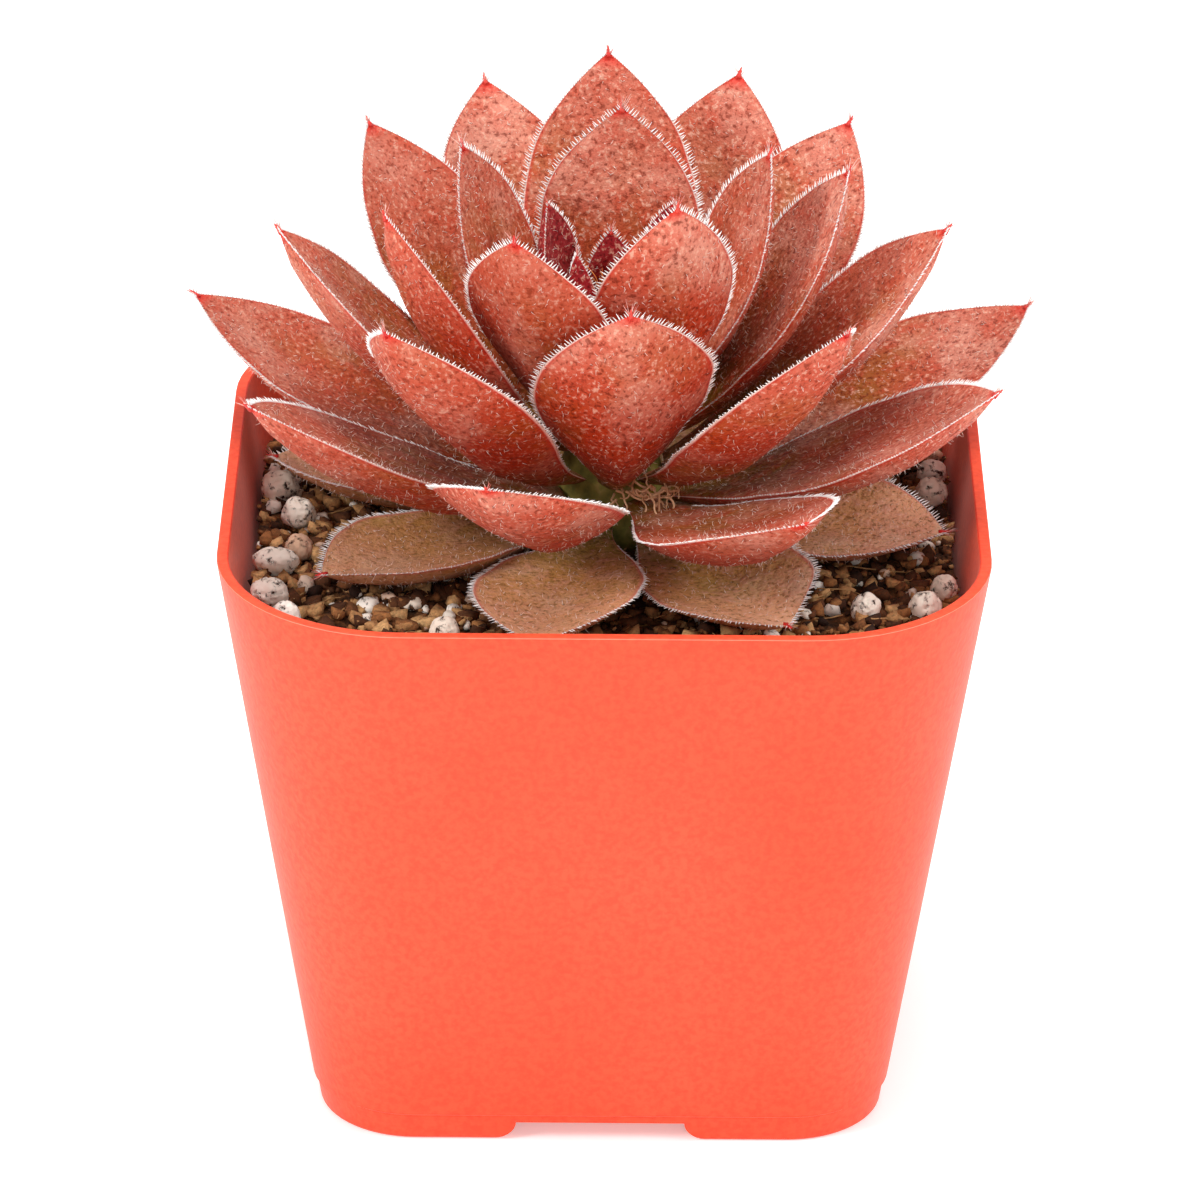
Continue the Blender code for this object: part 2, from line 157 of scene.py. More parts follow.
def stampCopies(name, template, matrices, tones=None):
    # one mesh holding a copy of the template at each matrix, with a tone for each copy
    count = len(template.vertices)
    base = np.ones((count, 4))
    flat = np.zeros(count * 3)
    template.vertices.foreach_get("co", flat)
    base[:, :3] = flat.reshape(-1, 3)
    places = np.array([[list(row) for row in matrix] for matrix in matrices])
    points = np.einsum("nij,vj->nvi", places, base)[:, :, :3].reshape(-1, 3)
    faces = [tuple(polygon.vertices) for polygon in template.polygons]
    copies = [tuple(corner + shift for corner in face)
              for shift in range(0, count * len(matrices), count) for face in faces]
    mesh = bpy.data.meshes.new(name)
    mesh.from_pydata(points.tolist(), [], copies)
    if tones is not None:
        layer = mesh.attributes.new("tone", "FLOAT", "POINT")
        layer.data.foreach_set("value", np.repeat(np.array(tones, dtype=np.float32), count))
    return mesh


def along(direction, twist=0.0):
    # a rotation that takes +Z to the direction
    return direction.to_track_quat("Z", "Y").to_matrix().to_4x4() @ Matrix.Rotation(twist, 4, "Z")


def jitter(amount):
    return Vector((dice.uniform(-1, 1), dice.uniform(-1, 1), dice.uniform(-1, 1))) * amount


def strandMesh(name, paths, radius, resolution=1):
    # thin tapering strands through lists of points
    curve = bpy.data.curves.new(name, "CURVE")
    curve.dimensions = "3D"
    curve.bevel_depth = radius
    curve.bevel_resolution = resolution
    curve.use_fill_caps = True
    curve.resolution_u = 3
    for path in paths:
        spline = curve.splines.new("NURBS")
        spline.points.add(len(path) - 1)
        spline.use_endpoint_u = True
        spline.order_u = 3
        for i, (point, place) in enumerate(zip(spline.points, path)):
            point.co = (*place, 1.0)
            point.radius = 1.0 - 0.6 * i / (len(path) - 1)
    holder = bpy.data.objects.new(name, curve)
    bpy.context.scene.collection.objects.link(holder)
    bpy.context.view_layer.update()
    mesh = bpy.data.meshes.new_from_object(
        holder.evaluated_get(bpy.context.evaluated_depsgraph_get()))
    bpy.data.objects.remove(holder)
    bpy.data.curves.remove(curve)
    return mesh


# pot: injection-moulded polypropylene, matte from the mould's fine spark texture
potPlastic = dict(
    baseWidth=48.2, baseCorner=8.4, topCorner=15.6, wall=1.0, floor=1.2,
    footHeight=2.7, footStep=0.25, footLip=0.8, edgeRound=0.4, rimRound=0.16,
    notchWidth=14.2, notchHeight=1.8, notchFlare=2.4, drainRadius=3.0, drainOffset=11.5,
    # the last two colours are painted light: deep red shade on the rim's inner crest and a pale
    # highlight on its outer edge
    cornerSteps=16, colour="E64B27", paler="EA5C3C", rimInnerShade="D81E0C", rimHighlight="FF9C84")
potLow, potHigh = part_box("pot")
potMiddle = Vector(((potLow.x + potHigh.x) / 2, (potLow.y + potHigh.y) / 2, 0.0))
potHeight = (potHigh.z - potLow.z) / mm
potWidth = (potHigh.x - potLow.x) / mm
aroundCount = 4 * (potPlastic["cornerSteps"] + 1)


def potSize(height, inset):
    share = height / potHeight
    width = potPlastic["baseWidth"] + (potWidth - potPlastic["baseWidth"]) * share
    corner = potPlastic["baseCorner"] + (potPlastic["topCorner"] - potPlastic["baseCorner"]) * share
    return width / 2 - inset, corner - inset


def potPoint(number, height, inset):
    # a place on the pot's rounded square outline, counted around it
    half, corner = potSize(height, inset)
    quarter, step = divmod(number, potPlastic["cornerSteps"] + 1)
    angle = math.pi / 2 * (quarter + step / potPlastic["cornerSteps"])
    side = Matrix.Rotation(math.pi / 2 * quarter, 3, "Z") @ Vector((half - corner,) * 2 + (0.0,))
    return potMiddle + Vector((side.x + corner * math.cos(angle),
                               side.y + corner * math.sin(angle), height)) * mm


def insideWall(x, y, height, inset):
    # distance in mm inwards from the outline at this height
    half, corner = potSize(height, inset)
    overX = abs(x) - half + corner
    overY = abs(y) - half + corner
    beyond = math.hypot(max(overX, 0.0), max(overY, 0.0)) + min(max(overX, overY), 0.0)
    return corner - beyond


def growPot(bm, levels):
    # a filled ring drawn up through levels of (height, inset, mark)
    number = bm.verts.layers.int.new("number")
    # marks for the rim's painted highlight and its painted shade
    rimHighlight = bm.verts.layers.float.new("rimHighlight")
    rimInnerShade = bm.verts.layers.float.new("rimInnerShade")
    start = bmesh.ops.create_circle(bm, cap_ends=True, segments=aroundCount, radius=1.0)
    for i, vert in enumerate(start["verts"]):
        vert[number] = i
    face = next(iter(bm.faces))
    for place, (height, inset, mark) in enumerate(levels):
        if place:
            grown = bmesh.ops.extrude_face_region(bm, geom=[face])
            if place > 1:  # only the first cap stays, as the pot's underside
                bmesh.ops.delete(bm, geom=[face], context="FACES_ONLY")
            face = next(item for item in grown["geom"] if isinstance(item, bmesh.types.BMFace))
        for vert in face.verts:
            vert.co = potPoint(vert[number], height, inset)
            vert[rimHighlight] = 1.0 if mark == "edge" else 0.0
            vert[rimInnerShade] = 1.0 if mark == "inside" else 0.0
    bmesh.ops.recalc_face_normals(bm, faces=bm.faces)


def quarterRound(height, inset, radius, startDegrees, endDegrees, mark="", steps=5):
    # stations around a rounded edge whose centre is at this height and inset
    stations = []
    for step in range(steps + 1):
        angle = math.radians(startDegrees + (endDegrees - startDegrees) * step / steps)
        middle = mark if step == steps // 2 else ""
        stations.append((height + radius * math.sin(angle),
                         inset - radius * math.cos(angle), middle))
    return stations


def potCutter():
    # two crossed bars whose ends make the foot's notches, and the drain holes
    half = potPlastic["notchWidth"] / 2
    flare = potPlastic["notchFlare"]
    height = potPlastic["notchHeight"]
    bm = bmesh.new()
    for turn in (0.0, math.pi / 2):
        corners = [(-half - flare, -height)]
        for step in range(1, 9):
            angle = math.pi / 2 * step / 8
            corners.append((-half - flare * (1.0 - math.sin(angle)),
                            height * (1.0 - math.cos(angle))))
        corners += [(-x, z) for x, z in reversed(corners)]
        verts = [bm.verts.new(Vector((x, -potWidth, z)) * mm) for x, z in corners]
        face = bm.faces.new(verts)
        grown = bmesh.ops.extrude_face_region(bm, geom=[face])["geom"]
        far = [item for item in grown if isinstance(item, bmesh.types.BMVert)]
        bmesh.ops.translate(bm, verts=far, vec=(0, 2 * potWidth * mm, 0))
        bmesh.ops.rotate(bm, verts=verts + far, cent=(0, 0, 0), matrix=Matrix.Rotation(turn, 3, "Z"))
    offset = potPlastic["drainOffset"]
    for x, y in ((0, 0), (offset, offset), (-offset, offset), (-offset, -offset), (offset, -offset)):
        place = Matrix.Translation(Vector((x, y, potPlastic["footHeight"])) * mm)
        bmesh.ops.create_cone(bm, cap_ends=True, segments=40, depth=6 * mm, matrix=place,
                              radius1=potPlastic["drainRadius"] * mm,
                              radius2=potPlastic["drainRadius"] * mm)
    bmesh.ops.translate(bm, verts=bm.verts, vec=potMiddle)
    bmesh.ops.recalc_face_normals(bm, faces=bm.faces)
    cutter = bpy.data.objects.new("cutter", meshFrom(bm, "cutter"))
    bpy.context.scene.collection.objects.link(cutter)
    return cutter


def mouldedPolypropylene():
    # Polypropylene, injection moulded in a spark-textured mould: an even satin coral with a
    # very fine grain and no sharp gloss; the rim's inner crest is painted deeper red as shade and its
    # outer edge carries a painted pale highlight.
    material, tree, shader = newMaterial("polypropylene spark-textured moulding", {
        "Roughness": 0.5, "IOR": 1.49, "Specular IOR Level": 0.35, "Subsurface Weight": 0.08,
        "Subsurface Radius": (1.0, 0.25, 0.12), "Subsurface Scale": 0.8 * mm,
        "Sheen Weight": 0.15, "Sheen Roughness": 0.35, "Sheen Tint": hexColour("FFE4DA")})
    place = objectVector(tree)
    cloud = grain(tree, place, 9.0, 3.0)
    speck = grain(tree, place, 0.28, 2.0)  # spark texture is nearer 0.1 mm, drawn coarser to show
    body = mixColour(tree, mapRange(tree, cloud, 0.35, 0.7, 0.0, 0.35),
                     hexColour(potPlastic["colour"]), hexColour(potPlastic["paler"]))
    body = mixColour(tree, mapRange(tree, speck, 0.38, 0.66, 0.0, 0.5), body, hexColour("CE3214"))
    # painted shade: the rim's inner crest deepened to saturated red where less highlight falls
    inside = mapRange(tree, readAttribute(tree, "rimInnerShade"), 0.05, 0.9)
    body = mixColour(tree, inside, body, hexColour(potPlastic["rimInnerShade"]))
    # painted highlight: a pale line along the rim's outer rounded edge
    edge = mapRange(tree, readAttribute(tree, "rimHighlight"), 0.3, 0.9, 0.0, 0.85)
    body = mixColour(tree, edge, body, hexColour(potPlastic["rimHighlight"]))
    tree.links.new(body, shader.inputs["Base Color"])
    addBump(tree, shader, [(speck, 0.035)])
    return material


def makePot():
    settings = potPlastic
    floorUnder = settings["footHeight"] - settings["floor"] / 2
    floorTop = floorUnder + settings["floor"]
    lip = settings["footLip"] + settings["wall"]
    edge = settings["edgeRound"]
    rim = settings["rimRound"]
    levels = [(floorUnder, lip, ""), (0.0, lip, "")]
    levels += quarterRound(edge, settings["footStep"] + edge, edge, -90, 0)
    levels += [(settings["footHeight"] - 0.2, settings["footStep"], ""),
               (settings["footHeight"], 0.0, "")]
    levels += [(height, 0.0, "") for height in (8, 16, 24, 32, 40, 48)]
    # the middle station of the rim's outer round is marked for the painted highlight
    levels += quarterRound(potHeight - rim, rim, rim, 0, 90, "edge")
    levels += [(potHeight, settings["wall"] * 0.45, "")]
    # the middle station of the rim's inner round is marked for the painted shade
    levels += quarterRound(potHeight - rim, settings["wall"] - rim, rim, 90, 180, "inside")
    levels += [(potHeight - 0.8, settings["wall"], ""), (30.0, settings["wall"], ""),
               (floorTop + 1.0, settings["wall"], ""), (floorTop, settings["wall"] + 1.0, "")]
    bm = bmesh.new()
    growPot(bm, levels)
    rough = bpy.data.objects.new("rough", meshFrom(bm, "rough"))
    bpy.context.scene.collection.objects.link(rough)
    cutter = potCutter()
    cut = rough.modifiers.new("cut", "BOOLEAN")
    cut.operation = "DIFFERENCE"
    cut.solver = "EXACT"
    cut.object = cutter
    bpy.context.view_layer.update()
    mesh = bpy.data.meshes.new_from_object(
        rough.evaluated_get(bpy.context.evaluated_depsgraph_get()))
    bpy.data.objects.remove(rough)
    bpy.data.objects.remove(cutter)
    addPiece("nurseryPot", mesh, mouldedPolypropylene(), ["pot"], sharpAngle=32)


makePot()
print("pot made")


# soil: bark and peat mix, coarse and loose, nearly black in the low spots of its bump
pottingMix = dict(
    belowRim=6.6, lift=0.35, wall=1.0, gap=0.35, cells=170, moundHeight=0.7, moundRadius=9.0,
    crumbs=5200, crumbSize=(0.4, 1.7), grit=420, gritSize=(0.5, 1.7), fibres=150)
soilLevel = potHeight - pottingMix["belowRim"]
stemLow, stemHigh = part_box("stem")
rosetteAxis = Vector(((stemLow.x + stemHigh.x) / 2, (stemLow.y + stemHigh.y) / 2, 0.0))


def soilTop(x, y):
    # the height in mm of the mix at a place in mm from the pot's middle
    centre = (rosetteAxis - potMiddle) / mm
    away = math.hypot(x - centre.x, y - centre.y)
    mound = pottingMix["moundHeight"] * math.exp(-(away / pottingMix["moundRadius"]) ** 2)
    lumps = noise.noise(Vector((x, y, 3.0)) * 0.35) * 0.55
    crumbs = noise.noise(Vector((x, y, 9.0)) * 1.3) * 0.35
    return soilLevel + pottingMix["lift"] + mound + lumps + crumbs


def barkAndPeat():
    # Bark and peat, milled and mixed: nearly black in the low spots of its bump, with warm brown
    # crumbs on the high ones and a dry, dull, rough surface.
    material, tree, shader = newMaterial("bark and peat mix, milled", {
        "Roughness": 0.95, "Specular IOR Level": 0.25})
    place = objectVector(tree)
    clumps = grain(tree, place, 0.9, 4.0, 0.7)
    fine = grain(tree, place, 0.25, 3.0, 0.7)
    colour = ramp(tree, clumps, [(0.30, "120904"), (0.46, "3A2110"), (0.58, "6A4222"),
                                 (0.72, "A8743E")])
    colour = mixColour(tree, mapRange(tree, fine, 0.45, 0.75, 0.0, 0.5), colour, hexColour("6E4A2E"))
    tree.links.new(colour, shader.inputs["Base Color"])
    addBump(tree, shader, [(clumps, 0.5), (fine, 0.2)])
    return material


def crumbMatter():
    # Bark crumbs, milled: each one its own brown, from near black to tan.
    material, tree, shader = newMaterial("bark crumbs, milled", {
        "Roughness": 0.9, "Specular IOR Level": 0.3})
    tone = readAttribute(tree, "tone")
    fine = grain(tree, objectVector(tree), 0.2, 3.0, 0.7)
    colour = ramp(tree, tone, [(0.0, "28140A"), (0.3, "6A4024"), (0.6, "A87040"),
                               (1.0, "DEB078")])
    colour = mixColour(tree, mapRange(tree, fine, 0.4, 0.7, 0.0, 0.6), colour, hexColour("1A0E08"))
    tree.links.new(colour, shader.inputs["Base Color"])
    addBump(tree, shader, [(fine, 0.12)])
    return material


def lumpTemplate(name, subdivisions, rough):
    bm = bmesh.new()
    bmesh.ops.create_icosphere(bm, subdivisions=subdivisions, radius=0.5)
    for vert in bm.verts:
        vert.co *= 1.0 + rough * noise.noise(vert.co * 3.1 + Vector((7.0, 2.0, 5.0)))
    return meshFrom(bm, name)


def spotOnSoil(margin):
    while True:
        half = potWidth / 2
        x = dice.uniform(-half, half)
        y = dice.uniform(-half, half)
        if insideWall(x, y, soilLevel, pottingMix["wall"]) > margin:
            return x, y


def scatterLumps(name, template, count, sizes, sink, material, flatten=0.75):
    matrices, tones = [], []
    for _ in range(count):
        share = dice.random() ** 2.2
        size = sizes[0] + (sizes[1] - sizes[0]) * share
        x, y = spotOnSoil(size * 0.6 + 0.1)
        height = soilTop(x, y) + size * (0.5 - sink)
        turn = Matrix.Rotation(dice.uniform(0, 6.28), 4, "Z") @ Matrix.Rotation(
            dice.uniform(-0.6, 0.6), 4, "X")
        shape = Matrix.Diagonal((size * dice.uniform(0.8, 1.2), size, size * flatten, 1.0)) * mm
        shape[3][3] = 1.0
        matrices.append(Matrix.Translation(potMiddle + Vector((x, y, height)) * mm) @ turn @ shape)
        tones.append(dice.random())
    mesh = stampCopies(name, template, matrices, tones)
    return addPiece(name, mesh, material)


def makeSoil():
    settings = pottingMix
    cover = potWidth * mm
    bm = bmesh.new()
    bmesh.ops.create_grid(bm, x_segments=settings["cells"], y_segments=settings["cells"],
                          size=cover / 2)
    inset = settings["wall"] + settings["gap"]
    outside = [vert for vert in bm.verts
               if insideWall(vert.co.x / mm, vert.co.y / mm, soilLevel, inset) < 0]
    bmesh.ops.delete(bm, geom=outside, context="VERTS")
    for vert in bm.verts:
        vert.co.z = soilTop(vert.co.x / mm, vert.co.y / mm) * mm
    bmesh.ops.translate(bm, verts=bm.verts, vec=potMiddle)
    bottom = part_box("soil")[0].z
    shrink = potSize(bottom / mm, inset)[0] / potSize(soilLevel, inset)[0]
    rim = [edge for edge in bm.edges if edge.is_boundary]
    grown = bmesh.ops.extrude_edge_only(bm, edges=rim)["geom"]
    low = [item for item in grown if isinstance(item, bmesh.types.BMVert)]
    for vert in low:
        vert.co = potMiddle + (vert.co - potMiddle) * (shrink - 0.01)
        vert.co.z = bottom
    bmesh.ops.holes_fill(bm, edges=[edge for edge in bm.edges if edge.is_boundary])
    bmesh.ops.recalc_face_normals(bm, faces=bm.faces)
    addPiece("pottingMixBed", meshFrom(bm, "soil"), barkAndPeat(), ["soil"])
    crumb = lumpTemplate("crumb", 1, 0.9)
    scatterLumps("pottingMixCrumbs", crumb, settings["crumbs"], settings["crumbSize"], 0.15,
                 crumbMatter())


makeSoil()
print("soil made")


# pumice: volcanic glass foam, tumbled to rounded pale lumps with dark open pores
def tumbledPumice():
    # Pumice, crushed and tumbled: chalky off-white and dull, dark brown in the sunken pores of its
    # bump, and with a tan stain on some lumps.
    material, tree, shader = newMaterial("pumice, tumbled", {
        "Roughness": 0.85, "Specular IOR Level": 0.35})
    place = objectVector(tree)
    blotch = grain(tree, place, 1.1, 3.0, 0.6)
    pores = grain(tree, place, 0.35, 4.0, 0.65)
    stain = ramp(tree, readAttribute(tree, "tone"), [(0.0, "FAF6EC"), (0.7, "F1E8D8"),
                                                    (1.0, "D9B294")])
    colour = mixColour(tree, mapRange(tree, blotch, 0.52, 0.78, 0.0, 0.4), stain, hexColour("C8A986"))
    dark = mapRange(tree, pores, 0.57, 0.66)
    colour = mixColour(tree, dark, colour, hexColour("3B2416"))
    tree.links.new(colour, shader.inputs["Base Color"])
    hollow = mapRange(tree, pores, 0.55, 0.68, 1.0, 0.0)
    addBump(tree, shader, [(blotch, 0.25), (hollow, 0.15)])
    return material


def makeStones():
    material = tumbledPumice()
    for number, node in enumerate(sorted(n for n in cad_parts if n.startswith("stone_"))):
        low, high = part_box(node)
        middle = (low + high) / 2
        halves = (high - low) / 2
        bm = bmesh.new()
        bmesh.ops.create_icosphere(bm, subdivisions=4, radius=1.0)
        for vert in bm.verts:
            spot = vert.co * 1.2 + Vector((number * 5.0, 0.0, 0.0))
            swell = 0.97 + 0.14 * noise.noise(spot) + 0.05 * noise.noise(spot * 3.5)
            pit = max(0.0, noise.noise(spot * 5.5 + Vector((0, 9, 0))) - 0.22)
            vert.co = Vector([vert.co[i] * halves[i] for i in range(3)]) * (swell - pit * 0.5)
        bmesh.ops.translate(bm, verts=bm.verts, vec=middle - Vector((0, 0, 0.25 * mm)))
        mesh = meshFrom(bm, node)
        layer = mesh.attributes.new("tone", "FLOAT", "POINT")
        tone = dice.random()
        layer.data.foreach_set("value", [tone] * len(mesh.vertices))
        addPiece("pumice_" + node, mesh, material, [node])
    scatterLumps("pumiceGrit", lumpTemplate("grit", 2, 0.5), pottingMix["grit"],
                 pottingMix["gritSize"], 0.2, material, 0.85)


makeStones()
print("pumice made")


# leaves: fleshy, flat above and keeled below, with a fringe of fine hairs
leafShape = dict(
    widest=0.6, footShare=0.20, swell=1.5, point=2.2, upperShare=0.22, cupPower=1.4,
    plump=[(0.0, 0.3), (0.12, 0.7), (0.35, 1.0), (0.7, 0.75), (0.9, 0.38), (1.0, 0.0)],
    alongCells=44, acrossCells=18)
whorls = [
    dict(name="old_leaf", width=14.1, thickness=3.0, curl=18, cup=0.25, twist=5, foot=3.4, reach=5.2),
    dict(name="spread_leaf", width=15.5, thickness=3.4, curl=32, cup=0.20, twist=3, foot=5.4,
         reach=4.9),
    dict(name="rising_leaf", width=15.0, thickness=3.4, curl=28, cup=0.20, twist=5, foot=7.4,
         reach=4.5),
    dict(name="upright_leaf", width=14.0, thickness=3.2, curl=32, cup=0.18, twist=2, foot=9.4,
         reach=3.9),
    dict(name="inner_leaf", width=13.5, thickness=3.0, curl=24, cup=0.12, twist=2, foot=11.0,
         reach=3.4),
    dict(name="heart_leaf", width=7.0, thickness=2.2, curl=18, cup=0.28, twist=2, foot=13.0,
         reach=2.8),
    dict(name="bud_leaf", width=4.6, thickness=1.6, curl=12, cup=0.28, twist=2, foot=14.0, reach=1.9),
]


def readLeaf(node, whorl, number):
    # a leaf's place and length, from the tip of its solid
    footHeight = (soilLevel + whorl["foot"]) * mm
    start = rosetteAxis + Vector((0.0, 0.0, footHeight))
    tip = max((vert.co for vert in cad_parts[node].data.vertices),
              key=lambda point: (point - start).length)
    azimuth = math.atan2(tip.y - start.y, tip.x - start.x)
    outwards = Vector((math.cos(azimuth), math.sin(azimuth), 0.0))
    foot = start + outwards * whorl["reach"] * mm
    reach = tip - foot
    return dict(node=node, whorl=whorl, foot=foot, outwards=outwards,
                sideways=Vector((-outwards.y, outwards.x, 0.0)),
                rise=math.atan2(reach.z, reach.dot(outwards)), length=reach.length,
                curl=math.radians(whorl["curl"]), seed=number * 3.7)


leaves = []
for whorl in whorls:
    for node in sorted(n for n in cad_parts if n.startswith(whorl["name"] + "_")):
        leaves.append(readLeaf(node, whorl, len(leaves)))


def stationValue(stations, share):
    for (start, low), (end, high) in zip(stations, stations[1:]):
        if share <= end:
            return low + (high - low) * (share - start) / (end - start)
    return stations[-1][1]


def leafOutline(share):
    if share < leafShape["widest"]:
        grow = math.sin(math.pi / 2 * share / leafShape["widest"]) ** leafShape["swell"]
        return leafShape["footShare"] + (1.0 - leafShape["footShare"]) * grow
    beyond = (share - leafShape["widest"]) / (1.0 - leafShape["widest"])
    return 1.0 - min(beyond, 1.0) ** leafShape["point"]


def leafAxes(leaf, share):
    # midrib point, then the directions along, across and above the leaf
    start = leaf["rise"] - leaf["curl"] / 2
    heading = start + leaf["curl"] * share
    scale = leaf["length"] / (2 * math.sin(leaf["curl"] / 2))
    out = (math.sin(heading) - math.sin(start)) * scale
    rise = (math.cos(start) - math.cos(heading)) * scale
    upwards = Vector((0.0, 0.0, 1.0))
    point = leaf["foot"] + leaf["outwards"] * out + upwards * rise
    forward = leaf["outwards"] * math.cos(heading) + upwards * math.sin(heading)
    up = upwards * math.cos(heading) - leaf["outwards"] * math.sin(heading)
    roll = math.radians(leaf["whorl"]["twist"]) * min(1.0, share * 2.0)
    across = leaf["sideways"] * math.cos(roll) + up * math.sin(roll)
    above = up * math.cos(roll) - leaf["sideways"] * math.sin(roll)
    return point, forward, across, above


def leafPoint(leaf, share, t, under):
    # a point on the upper (under 0) or lower face (under 1), t from margin to margin
    whorl = leaf["whorl"]
    point, _, across, above = leafAxes(leaf, share)
    half = whorl["width"] / 2 * leafOutline(share)
    plump = whorl["thickness"] * stationValue(leafShape["plump"], share)
    lift = whorl["cup"] * half * min(1.0, share * 3.0) * abs(t) ** leafShape["cupPower"]
    spot = Vector((share * 4.0, t * 1.6, leaf["seed"] + under * 20.0))
    ripple = noise.noise(spot) * 0.22 * (1.0 - t * t) * min(1.0, (1.0 - share) * 4.0)
    if under:
        drop = (1.0 - leafShape["upperShare"]) * plump * (1.0 - abs(t) ** 1.6) ** 0.8
        height = lift - drop + ripple * 0.5
    else:
        height = lift + leafShape["upperShare"] * plump * (1.0 - t * t) + ripple
    waver = 1.0 + 0.05 * noise.noise(Vector((share * 7.0, leaf["seed"], t)))
    return point + (across * half * t * waver + above * height) * mm


def leafNormal(leaf, share, t, under):
    step = 0.012
    here = leafPoint(leaf, share, t, under)
    ahead = leafPoint(leaf, min(share + step, 0.999), t, under) - here
    aside = leafPoint(leaf, share, t + (step if t < 0.9 else -step), under) - here
    if t >= 0.9:
        aside.negate()
    normal = ahead.cross(aside).normalized()
    return normal if under == 0 else -normal


def leafFace(bm, leaf, under):
    # one face of a leaf: a grid whose rows run from its foot to its tip
    fields = [bm.verts.layers.float.get(name) for name in ("along", "across", "underside")]
    made = bmesh.ops.create_grid(bm, x_segments=leafShape["alongCells"],
                                 y_segments=leafShape["acrossCells"], size=1.0)
    for vert in made["verts"]:
        share = (vert.co.x + 1.0) / 2
        share = 1.0 - (1.0 - share) ** 1.25
        t = math.sin(vert.co.y * math.pi / 2)
        vert[fields[0]] = share
        vert[fields[1]] = abs(t)
        vert[fields[2]] = under
        vert.co = leafPoint(leaf, share, t, under)


def leafMesh(leaf):
    bm = bmesh.new()
    for name in ("along", "across", "underside", "tone"):
        bm.verts.layers.float.new(name)
    leafFace(bm, leaf, 0)
    leafFace(bm, leaf, 1)
    bmesh.ops.remove_doubles(bm, verts=bm.verts, dist=0.004 * mm)
    bmesh.ops.holes_fill(bm, edges=[edge for edge in bm.edges if edge.is_boundary])
    tone = bm.verts.layers.float.get("tone")
    value = 0.5 + 0.5 * noise.noise(Vector((leaf["seed"], 1.5, 0.0)))
    for vert in bm.verts:
        vert[tone] = value
    bmesh.ops.recalc_face_normals(bm, faces=bm.faces)
    return meshFrom(bm, leaf["node"])


def leafSkin(name, colours):
    # Living leaf skin, grown under a coat of short hairs: a matte fleshy surface with soft
    # light under it, dusty on its faces, saturated at its base and thinly red by its margins.
    material, tree, shader = newMaterial(name, {
        "Roughness": 0.6, "IOR": 1.4, "Specular IOR Level": 0.2, "Subsurface Weight": 0.06,
        "Subsurface Radius": (1.0, 0.35, 0.2), "Subsurface Scale": 1.0 * mm,
        "Sheen Weight": 0.04, "Sheen Roughness": 0.5, "Sheen Tint": hexColour("FFE6DC")})
    place = objectVector(tree)
    length = readAttribute(tree, "along")
    width = readAttribute(tree, "across")
    under = readAttribute(tree, "underside")
    clouds = grain(tree, place, 3.2, 3.0, 0.55)
    mottle = grain(tree, place, 0.9, 4.0, 0.65)
    fine = grain(tree, place, 0.22, 2.0, 0.6)
    shifted = addNode(tree, "ShaderNodeMath", {"operation": "MULTIPLY_ADD", 1: 0.5, 2: -0.25},
                      {0: clouds}).outputs[0]
    grade = addNode(tree, "ShaderNodeMath", {"operation": "ADD"}, {0: length, 1: shifted}).outputs[0]
    upper = ramp(tree, grade, colours["upper"])
    lower = ramp(tree, grade, colours["lower"])
    skin = mixColour(tree, under, upper, lower)
    patches = grain(tree, place, 5.0, 2.0, 0.5)
    green = mapRange(tree, patches, 0.50, 0.66, 0.0, 0.55)
    nearBase = mapRange(tree, length, 0.35, 0.9, 1.0, 0.15)
    tinge = addNode(tree, "ShaderNodeMath", {"operation": "MULTIPLY"},
                    {0: green, 1: nearBase}).outputs[0]
    skin = mixColour(tree, tinge, skin, hexColour(colours["green"]))
    blush = mapRange(tree, mottle, 0.46, 0.64, 0.0, 0.7)
    skin = mixColour(tree, blush, skin, hexColour(colours["blush"]))
    dust = mapRange(tree, clouds, 0.50, 0.70, 0.0, 0.5)
    skin = mixColour(tree, dust, skin, hexColour(colours["dust"]))
    speck = mapRange(tree, fine, 0.56, 0.68, 0.0, 0.7)
    skin = mixColour(tree, speck, skin, hexColour("E8B49C"))
    pit = mapRange(tree, fine, 0.34, 0.45, 0.7, 0.0)
    skin = mixColour(tree, pit, skin, hexColour(colours["pit"]))
    tone = mapRange(tree, readAttribute(tree, "tone"), 0.2, 0.8, 0.0, 0.35)
    skin = mixColour(tree, tone, skin, hexColour(colours["other"]))
    line = mapRange(tree, width, 0.93, 0.97, 0.0, 0.6)
    skin = mixColour(tree, line, skin, hexColour(colours["line"]))
    edge = mapRange(tree, width, 0.975, 0.995, 0.0, 0.85)
    skin = mixColour(tree, edge, skin, hexColour("F7D9CC"))
    tip = mapRange(tree, length, 0.955, 0.99, 0.0, 0.9)
    skin = mixColour(tree, tip, skin, hexColour(colours["tip"]))
    tree.links.new(skin, shader.inputs["Base Color"])
    addBump(tree, shader, [(clouds, 0.5), (mottle, 0.35), (fine, 0.12)])
    return material


